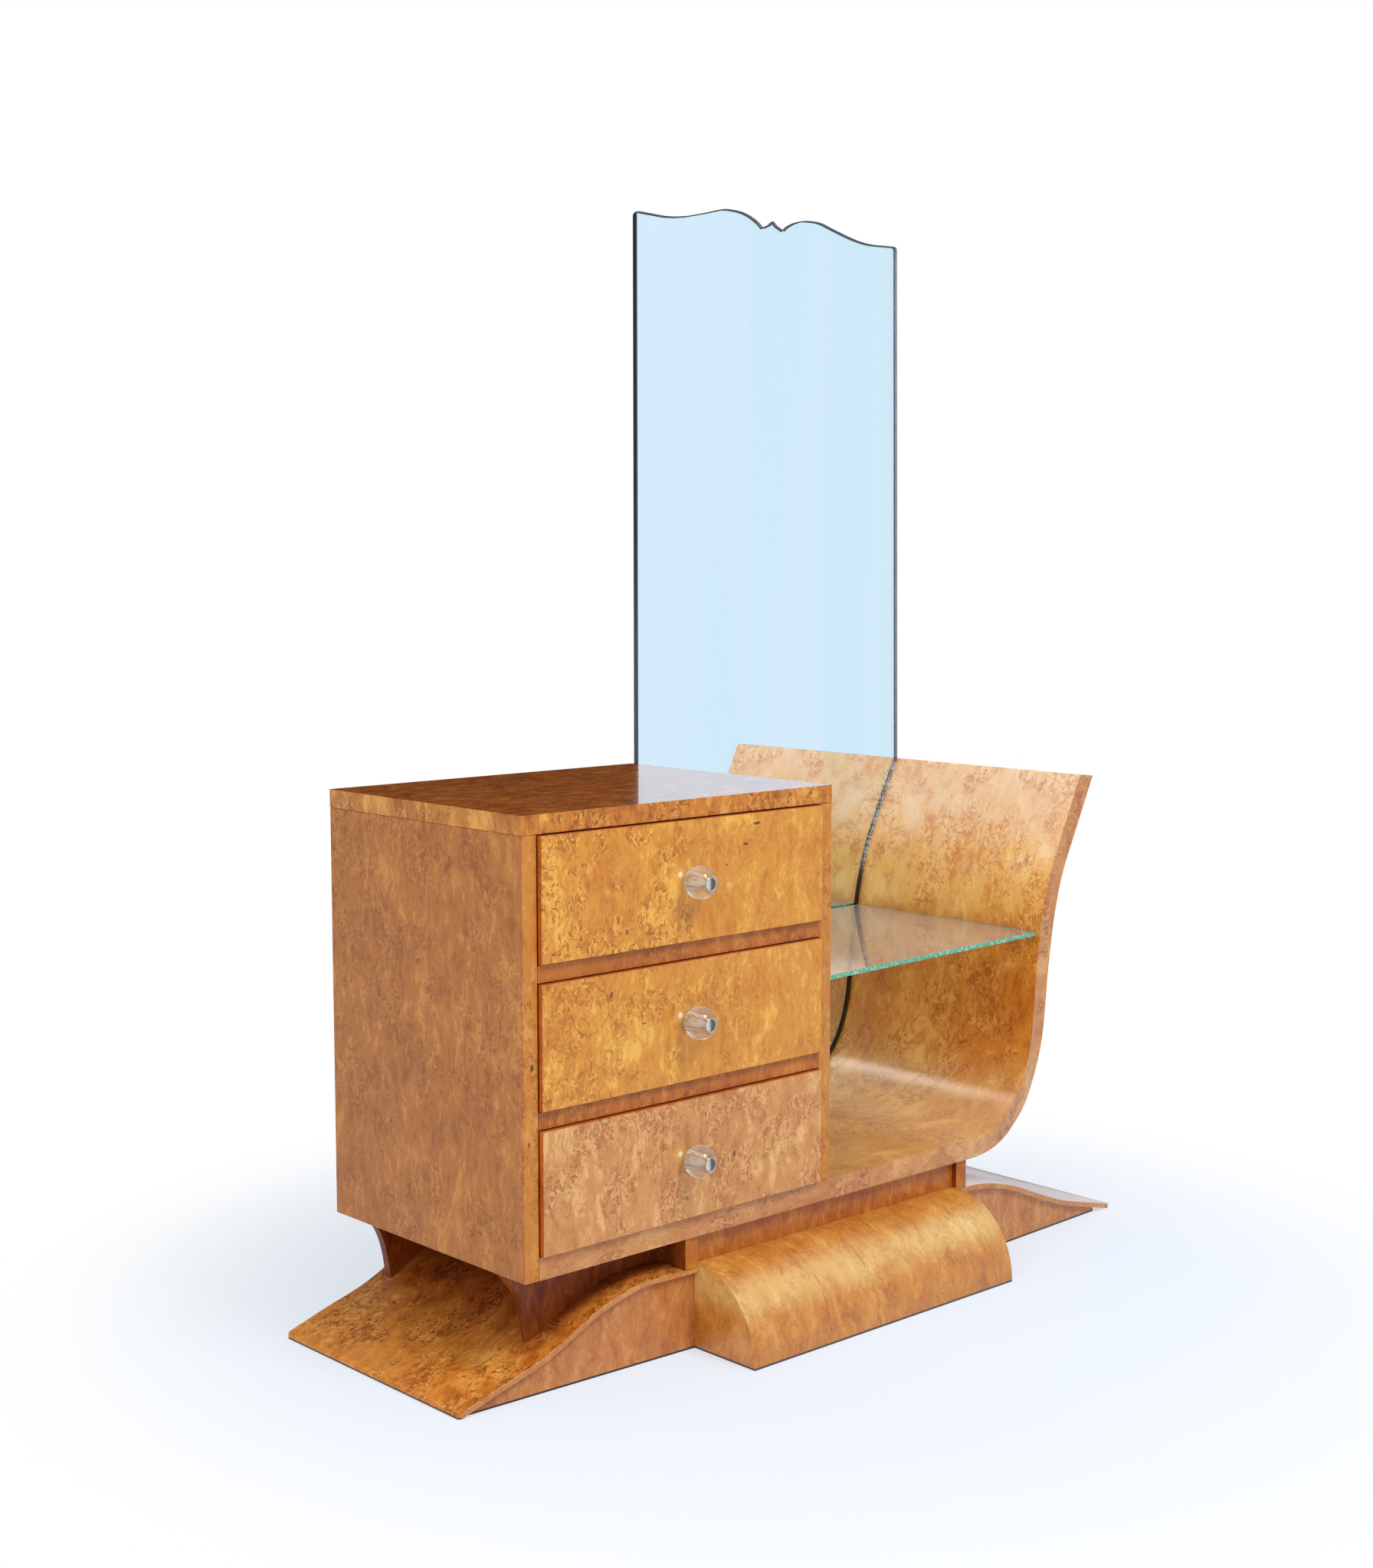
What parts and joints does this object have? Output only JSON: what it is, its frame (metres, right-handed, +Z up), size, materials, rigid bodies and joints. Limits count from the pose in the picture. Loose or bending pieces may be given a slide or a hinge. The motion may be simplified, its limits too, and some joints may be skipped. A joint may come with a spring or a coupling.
{
  "type": "dressing table",
  "caption": "Dressing table with drawers beside an open bay whose floor sweeps up into a curved wall, a tall shaped mirror, a glass shelf and a plinth with swept wings.",
  "frame": {"origin": "middle of the bounding box at floor level", "axes": "+Z up, -Y towards the person at the table, +X from the drawers towards the open bay"},
  "size_m": [1.2068, 0.483, 1.4551],
  "materials": {
    "burr": "glossy burr veneer",
    "side_veneer": "glossy straight-grained veneer",
    "edge_veneer": "satin veneer",
    "top_veneer": "high polish",
    "fin_veneer": "dark satin",
    "drawer_wood": "plain planed",
    "plywood": "plain",
    "silvered_glass": "silvered at the back",
    "backing": "painted black",
    "shelf_glass": "clear, polished edges",
    "knob_glass": "clear, polished",
    "polished_metal": "polished",
    "steel": "plain"
  },
  "bodies": {
    "cabinet": {"bay_board": "burr", "bullnose": "burr", "cabinet_back": "plywood", "front_fin": "fin_veneer", "rear_fin": "fin_veneer", "glass_shelf": "shelf_glass", "left_side_panel": "side_veneer", "right_side_panel": "side_veneer", "top_board": "top_veneer", "left_wing_sheet": "burr", "right_wing_sheet": "burr", "left_wing_front_panel": "edge_veneer", "left_wing_rear_panel": "edge_veneer", "right_wing_front_panel": "edge_veneer", "right_wing_rear_panel": "edge_veneer", "upper_rail": "edge_veneer", "lower_rail": "edge_veneer", "upper_left_runner": "drawer_wood", "upper_right_runner": "drawer_wood", "lower_left_runner": "drawer_wood", "lower_right_runner": "drawer_wood", "mirror_glass": "silvered_glass", "mirror_backing": "backing", "mirror_left_plate": "steel", "mirror_left_plate_screw": "steel", "mirror_right_plate": "steel", "mirror_right_plate_screw": "steel", "neck_left_panel": "edge_veneer", "neck_right_panel": "edge_veneer", "plinth_front_board": "edge_veneer", "plinth_rear_board": "edge_veneer", "shelf_front_left_peg": "steel", "shelf_rear_left_peg": "steel", "shelf_front_right_peg": "steel", "shelf_rear_right_peg": "steel"},
    "upper_drawer": {"upper_drawer_front": "burr", "upper_drawer_left_side": "drawer_wood", "upper_drawer_right_side": "drawer_wood", "upper_drawer_back": "drawer_wood", "upper_drawer_bottom": "plywood", "upper_drawer_knob_glass": "knob_glass", "upper_drawer_knob_core": "polished_metal", "upper_drawer_knob_screw": "steel"},
    "middle_drawer": {"middle_drawer_front": "burr", "middle_drawer_left_side": "drawer_wood", "middle_drawer_right_side": "drawer_wood", "middle_drawer_back": "drawer_wood", "middle_drawer_bottom": "plywood", "middle_drawer_knob_glass": "knob_glass", "middle_drawer_knob_core": "polished_metal", "middle_drawer_knob_screw": "steel"},
    "lower_drawer": {"lower_drawer_front": "burr", "lower_drawer_left_side": "drawer_wood", "lower_drawer_right_side": "drawer_wood", "lower_drawer_back": "drawer_wood", "lower_drawer_bottom": "plywood", "lower_drawer_knob_glass": "knob_glass", "lower_drawer_knob_core": "polished_metal", "lower_drawer_knob_screw": "steel"}
  },
  "joints": [
    {"name": "upper_drawer_slide", "type": "slide", "parent": "cabinet", "child": "upper_drawer", "axis": [0, -1, 0], "range_m": [0, 0.26]},
    {"name": "middle_drawer_slide", "type": "slide", "parent": "cabinet", "child": "middle_drawer", "axis": [0, -1, 0], "range_m": [0, 0.26]},
    {"name": "lower_drawer_slide", "type": "slide", "parent": "cabinet", "child": "lower_drawer", "axis": [0, -1, 0], "range_m": [0, 0.26]}
  ]
}
